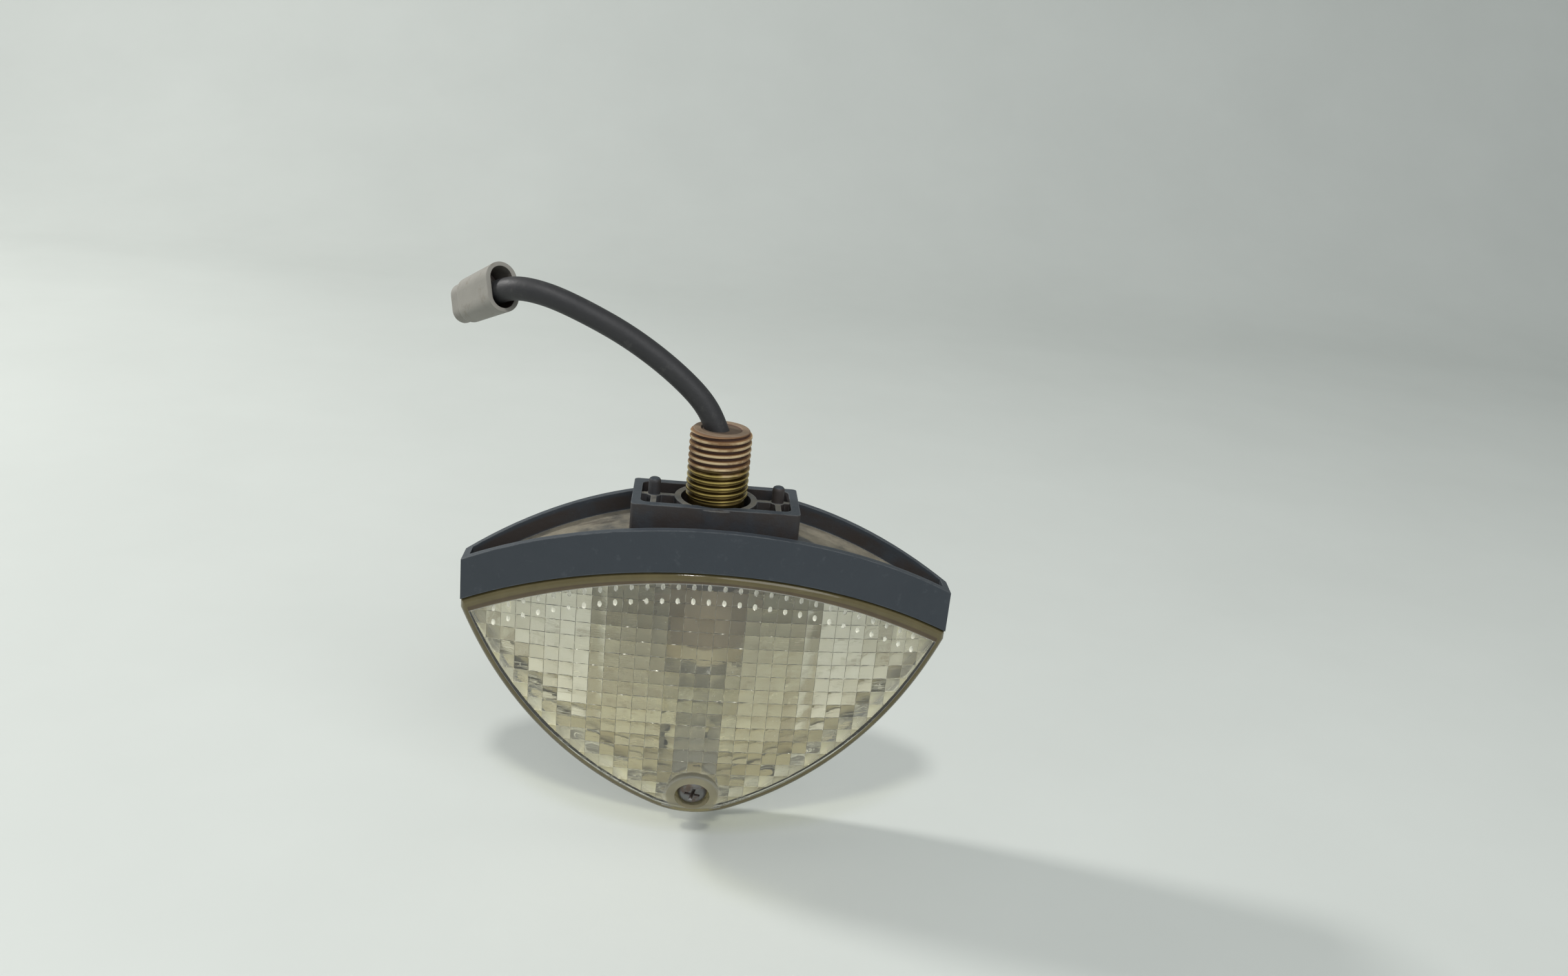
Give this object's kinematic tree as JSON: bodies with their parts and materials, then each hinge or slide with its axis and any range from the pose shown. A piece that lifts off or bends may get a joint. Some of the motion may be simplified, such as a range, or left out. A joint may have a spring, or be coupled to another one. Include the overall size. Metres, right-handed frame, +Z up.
{
  "type": "vehicle reversing lamp",
  "caption": "Pendant vehicle reversing lamp: arched plastic body on a hollow threaded stud, shield-shaped prismatic lens, bayonet bulb, short lead with a two-way plug.",
  "frame": {"origin": "on the stud's axis, in the plane of the boss rim that seats on the vehicle's bracket", "axes": "+Z up the stud, away from the lamp; +X to the right seen from the lens side, along the lamp's width; the lens faces -Y"},
  "size_m": [0.1196, 0.0378, 0.1253],
  "materials": {
    "housing_plastic": "dark blue-grey moulded plastic, worn and dusty",
    "lens_acrylic": "clear prismatic acrylic, yellowed with age",
    "gasket_rubber": "soft black rubber",
    "screw_steel": "zinc plated, corroded",
    "reflector_aluminium": "bright rolled sheet",
    "plated_steel": "yellow zinc plate, rusted towards the end",
    "spring_steel": "plain spring steel",
    "potting": "dusty brown sealant",
    "cable_sheath": "scuffed charcoal sheath",
    "connector_plastic": "grey moulded nylon, dirty",
    "terminal_brass": "bare brass",
    "core_insulation": "dark red core insulation",
    "holder_steel": "tinned steel, discoloured",
    "rivet_aluminium": "plain",
    "insulator_board": "brown insulating board",
    "cap_brass": "nickel-plated brass",
    "cap_insulator": "black vitrite",
    "solder": "solder",
    "bulb_glass": "clear blown glass",
    "support_wire": "plain",
    "tungsten": "coiled tungsten",
    "live_wire_insulation": "red",
    "earth_wire_insulation": "brown"
  },
  "bodies": {
    "lamp_body": {"housing": "housing_plastic", "lens_gasket": "gasket_rubber", "reflector": "reflector_aluminium", "threaded_stud": "plated_steel", "stud_retaining_washer": "spring_steel", "potting_plug": "potting", "holder_bracket": "holder_steel", "bracket_rivets": "rivet_aluminium", "bulb_holder": "holder_steel", "contact_disc": "insulator_board", "live_wire": "live_wire_insulation", "earth_wire": "earth_wire_insulation", "cable": "cable_sheath", "connector_housing": "connector_plastic", "connector_terminals": "terminal_brass", "connector_cores": "core_insulation"},
    "lens": {"lens": "lens_acrylic"},
    "lens_screw": {"lens_screw": "screw_steel"},
    "bulb": {"bulb_cap": "cap_brass", "bulb_glass": "bulb_glass", "bulb_insulator": "cap_insulator", "bulb_contact": "solder", "filament_supports": "support_wire", "bulb_filament": "tungsten"},
    "contact": {"contact_plunger": "terminal_brass"}
  },
  "joints": [
    {"name": "lens_release", "type": "slide", "parent": "lamp_body", "child": "lens", "axis": [0, -0.9613, -0.2756], "range_m": [0, 0.03]},
    {"name": "lens_screw_out", "type": "slide", "parent": "lens", "child": "lens_screw", "axis": [0, -0.9613, -0.2756], "range_m": [0, 0.012]},
    {"name": "bulb_twist", "type": "hinge", "parent": "lamp_body", "child": "bulb", "pos_m": [0, -0.0016, -0.03], "axis": [0, 0, 1], "range_deg": [0, 20]},
    {"name": "contact_press", "type": "slide", "parent": "lamp_body", "child": "contact", "axis": [0, 0, 1], "range_m": [0, 0.0006], "stiffness_N_per_m": 2000, "springref_m": -0.001}
  ]
}
